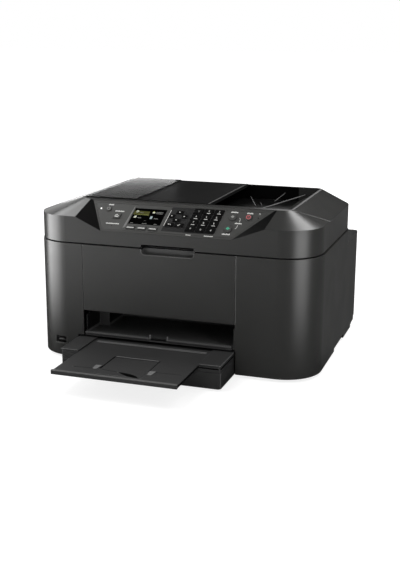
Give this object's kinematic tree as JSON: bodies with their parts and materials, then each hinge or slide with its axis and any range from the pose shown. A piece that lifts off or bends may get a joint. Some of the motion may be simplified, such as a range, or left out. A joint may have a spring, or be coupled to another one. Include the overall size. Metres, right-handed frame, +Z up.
{
  "type": "inkjet printer",
  "caption": "Dark desktop inkjet all-in-one printer: sloped keypad panel, hinged scanner lid with document feeder, drop-down front cover, paper cassette and pull-out output tray.",
  "frame": {"origin": "on the table, under the middle of the whole printer with its output tray pulled out", "axes": "+X to the right of someone in front of it, +Y to the back, +Z up"},
  "size_m": [0.463, 0.549, 0.26],
  "materials": {
    "body_plastic": "fine satin grain",
    "lid_plastic": "semi-gloss",
    "panel_plastic": "satin",
    "key_black": "gloss",
    "key_grey": "satin",
    "screen": "gloss",
    "tray_plastic": "satin",
    "inner_plastic": "matte",
    "rubber": "matte",
    "glass": "clear",
    "pad_white": "matte",
    "sheet_steel": "plated",
    "board_green": "satin",
    "tank_plastic": "gloss"
  },
  "bodies": {
    "printer": {"base_frame": "inner_plastic", "rubber_feet": "rubber", "left_side_cover": "body_plastic", "right_side_cover": "body_plastic", "rear_housing": "body_plastic", "sockets": "inner_plastic", "output_frame": "inner_plastic", "carriage_rail": "sheet_steel", "carriage_drive": "rubber", "circuit_boards": "board_green", "scanner_base": "inner_plastic", "platen_glass": "glass", "control_panel_housing": "body_plastic", "panel_plate": "panel_plastic", "display": "screen"},
    "front_cover": {"front_cover": "body_plastic"},
    "rear_cover": {"rear_cover": "body_plastic"},
    "feed_roller": {"feed_roller": "rubber"},
    "exit_roller": {"exit_roller": "rubber"},
    "cassette_base": {"cassette_base": "tray_plastic"},
    "cassette_front": {"cassette_front": "tray_plastic", "cassette_cover": "tray_plastic"},
    "output_tray": {"output_tray": "tray_plastic"},
    "output_support": {"output_support": "tray_plastic"},
    "carriage": {"carriage": "inner_plastic", "ink_tanks": "tank_plastic"},
    "scan_carriage": {"scan_carriage": "inner_plastic"},
    "lid": {"lid_shell": "lid_plastic", "lid_pad": "pad_white"},
    "feeder_cover": {"feeder_cover": "lid_plastic"},
    "document_tray": {"document_tray": "lid_plastic"},
    "document_guide_front": {"document_guide_front": "inner_plastic"},
    "document_guide_rear": {"document_guide_rear": "inner_plastic"},
    "adf_roller": {"adf_roller": "rubber"},
    "key_1": {"key_1": "key_black"},
    "key_2": {"key_2": "key_black"},
    "key_3": {"key_3": "key_black"},
    "key_4": {"key_4": "key_black"},
    "key_5": {"key_5": "key_black"},
    "key_6": {"key_6": "key_black"},
    "key_7": {"key_7": "key_black"},
    "key_8": {"key_8": "key_black"},
    "key_9": {"key_9": "key_black"},
    "key_star": {"key_star": "key_black"},
    "key_0": {"key_0": "key_black"},
    "key_hash": {"key_hash": "key_black"},
    "arrow_up": {"arrow_up": "key_black"},
    "arrow_left": {"arrow_left": "key_black"},
    "arrow_right": {"arrow_right": "key_black"},
    "arrow_down": {"arrow_down": "key_black"},
    "back_button": {"back_button": "key_black"},
    "ok_button": {"ok_button": "key_black"},
    "power_button": {"power_button": "key_black"},
    "home_button": {"home_button": "key_black"},
    "function_button_left": {"function_button_left": "key_grey"},
    "function_button_middle": {"function_button_middle": "key_grey"},
    "function_button_right": {"function_button_right": "key_grey"},
    "black_start_button": {"black_start_button": "key_black"},
    "colour_start_button": {"colour_start_button": "key_black"},
    "stop_button": {"stop_button": "key_black"}
  },
  "joints": [
    {"name": "lid_hinge", "type": "hinge", "parent": "printer", "child": "lid", "pos_m": [0, 0.176, 0.203], "axis": [-1, 0, 0], "range_deg": [0, 75]},
    {"name": "feeder_cover_hinge", "type": "hinge", "parent": "lid", "child": "feeder_cover", "pos_m": [-0.1513, 0.035, 0.255], "axis": [0, -1, 0], "range_deg": [0, 75]},
    {"name": "document_tray_hinge", "type": "hinge", "parent": "lid", "child": "document_tray", "pos_m": [0.0505, 0.035, 0.2558], "axis": [0, 1, 0], "range_deg": [0, 140]},
    {"name": "document_guide_front_slide", "type": "slide", "parent": "document_tray", "child": "document_guide_front", "axis": [0, 1, 0], "range_m": [0, 0.06]},
    {"name": "document_guide_rear_slide", "type": "slide", "parent": "document_tray", "child": "document_guide_rear", "axis": [0, 1, 0], "range_m": [-0.06, 0]},
    {"name": "adf_roller_spin", "type": "hinge", "parent": "lid", "child": "adf_roller", "pos_m": [-0.112, 0.035, 0.243], "axis": [0, 1, 0], "continuous": true},
    {"name": "front_cover_hinge", "type": "hinge", "parent": "printer", "child": "front_cover", "pos_m": [-0.017, -0.106, 0.09], "axis": [1, 0, 0], "range_deg": [0, 90]},
    {"name": "rear_cover_pull", "type": "slide", "parent": "printer", "child": "rear_cover", "axis": [0, 1, 0], "range_m": [0, 0.08]},
    {"name": "cassette_slide", "type": "slide", "parent": "printer", "child": "cassette_base", "axis": [0, -1, 0], "range_m": [0, 0.3]},
    {"name": "cassette_extension", "type": "slide", "parent": "cassette_base", "child": "cassette_front", "axis": [0, 1, 0], "range_m": [0, 0.065]},
    {"name": "output_tray_slide", "type": "slide", "parent": "cassette_front", "child": "output_tray", "axis": [0, 1, 0], "range_m": [0, 0.09]},
    {"name": "output_support_hinge", "type": "hinge", "parent": "output_tray", "child": "output_support", "pos_m": [-0.022, -0.261, 0.03615], "axis": [1, 0, 0], "range_deg": [0, 140]},
    {"name": "carriage_slide", "type": "slide", "parent": "printer", "child": "carriage", "axis": [-1, 0, 0], "range_m": [0, 0.27]},
    {"name": "scan_slide", "type": "slide", "parent": "printer", "child": "scan_carriage", "axis": [1, 0, 0], "range_m": [0, 0.366]},
    {"name": "feed_roller_spin", "type": "hinge", "parent": "printer", "child": "feed_roller", "pos_m": [-0.017, 0.0775, 0.068], "axis": [1, 0, 0], "continuous": true},
    {"name": "exit_roller_spin", "type": "hinge", "parent": "printer", "child": "exit_roller", "pos_m": [-0.017, 0.0135, 0.068], "axis": [1, 0, 0], "continuous": true},
    {"name": "key_1_press", "type": "slide", "parent": "printer", "child": "key_1", "axis": [0, 0.7919, -0.6106], "range_m": [0, 0.001], "stiffness_N_per_m": 250},
    {"name": "key_2_press", "type": "slide", "parent": "printer", "child": "key_2", "axis": [0, 0.7919, -0.6106], "range_m": [0, 0.001], "stiffness_N_per_m": 250},
    {"name": "key_3_press", "type": "slide", "parent": "printer", "child": "key_3", "axis": [0, 0.7919, -0.6106], "range_m": [0, 0.001], "stiffness_N_per_m": 250},
    {"name": "key_4_press", "type": "slide", "parent": "printer", "child": "key_4", "axis": [0, 0.7919, -0.6106], "range_m": [0, 0.001], "stiffness_N_per_m": 250},
    {"name": "key_5_press", "type": "slide", "parent": "printer", "child": "key_5", "axis": [0, 0.7919, -0.6106], "range_m": [0, 0.001], "stiffness_N_per_m": 250},
    {"name": "key_6_press", "type": "slide", "parent": "printer", "child": "key_6", "axis": [0, 0.7919, -0.6106], "range_m": [0, 0.001], "stiffness_N_per_m": 250},
    {"name": "key_7_press", "type": "slide", "parent": "printer", "child": "key_7", "axis": [0, 0.7919, -0.6106], "range_m": [0, 0.001], "stiffness_N_per_m": 250},
    {"name": "key_8_press", "type": "slide", "parent": "printer", "child": "key_8", "axis": [0, 0.7919, -0.6106], "range_m": [0, 0.001], "stiffness_N_per_m": 250},
    {"name": "key_9_press", "type": "slide", "parent": "printer", "child": "key_9", "axis": [0, 0.7919, -0.6106], "range_m": [0, 0.001], "stiffness_N_per_m": 250},
    {"name": "key_star_press", "type": "slide", "parent": "printer", "child": "key_star", "axis": [0, 0.7919, -0.6106], "range_m": [0, 0.001], "stiffness_N_per_m": 250},
    {"name": "key_0_press", "type": "slide", "parent": "printer", "child": "key_0", "axis": [0, 0.7919, -0.6106], "range_m": [0, 0.001], "stiffness_N_per_m": 250},
    {"name": "key_hash_press", "type": "slide", "parent": "printer", "child": "key_hash", "axis": [0, 0.7919, -0.6106], "range_m": [0, 0.001], "stiffness_N_per_m": 250},
    {"name": "arrow_up_press", "type": "slide", "parent": "printer", "child": "arrow_up", "axis": [0, 0.7919, -0.6106], "range_m": [0, 0.001], "stiffness_N_per_m": 250},
    {"name": "arrow_left_press", "type": "slide", "parent": "printer", "child": "arrow_left", "axis": [0, 0.7919, -0.6106], "range_m": [0, 0.001], "stiffness_N_per_m": 250},
    {"name": "arrow_right_press", "type": "slide", "parent": "printer", "child": "arrow_right", "axis": [0, 0.7919, -0.6106], "range_m": [0, 0.001], "stiffness_N_per_m": 250},
    {"name": "arrow_down_press", "type": "slide", "parent": "printer", "child": "arrow_down", "axis": [0, 0.7919, -0.6106], "range_m": [0, 0.001], "stiffness_N_per_m": 250},
    {"name": "back_button_press", "type": "slide", "parent": "printer", "child": "back_button", "axis": [0, 0.7919, -0.6106], "range_m": [0, 0.001], "stiffness_N_per_m": 250},
    {"name": "ok_button_press", "type": "slide", "parent": "printer", "child": "ok_button", "axis": [0, 0.7919, -0.6106], "range_m": [0, 0.001], "stiffness_N_per_m": 250},
    {"name": "power_button_press", "type": "slide", "parent": "printer", "child": "power_button", "axis": [0, 0.7919, -0.6106], "range_m": [0, 0.001], "stiffness_N_per_m": 250},
    {"name": "home_button_press", "type": "slide", "parent": "printer", "child": "home_button", "axis": [0, 0.7919, -0.6106], "range_m": [0, 0.001], "stiffness_N_per_m": 250},
    {"name": "function_button_left_press", "type": "slide", "parent": "printer", "child": "function_button_left", "axis": [0, 0.7919, -0.6106], "range_m": [0, 0.001], "stiffness_N_per_m": 250},
    {"name": "function_button_middle_press", "type": "slide", "parent": "printer", "child": "function_button_middle", "axis": [0, 0.7919, -0.6106], "range_m": [0, 0.001], "stiffness_N_per_m": 250},
    {"name": "function_button_right_press", "type": "slide", "parent": "printer", "child": "function_button_right", "axis": [0, 0.7919, -0.6106], "range_m": [0, 0.001], "stiffness_N_per_m": 250},
    {"name": "black_start_button_press", "type": "slide", "parent": "printer", "child": "black_start_button", "axis": [0, 0.7919, -0.6106], "range_m": [0, 0.001], "stiffness_N_per_m": 250},
    {"name": "colour_start_button_press", "type": "slide", "parent": "printer", "child": "colour_start_button", "axis": [0, 0.7919, -0.6106], "range_m": [0, 0.001], "stiffness_N_per_m": 250},
    {"name": "stop_button_press", "type": "slide", "parent": "printer", "child": "stop_button", "axis": [0, 0.7919, -0.6106], "range_m": [0, 0.001], "stiffness_N_per_m": 250}
  ],
  "couplings": [
    {"joint": "document_guide_rear_slide", "follows": "document_guide_front_slide", "ratio": -1},
    {"joint": "exit_roller_spin", "follows": "feed_roller_spin", "ratio": 1}
  ]
}
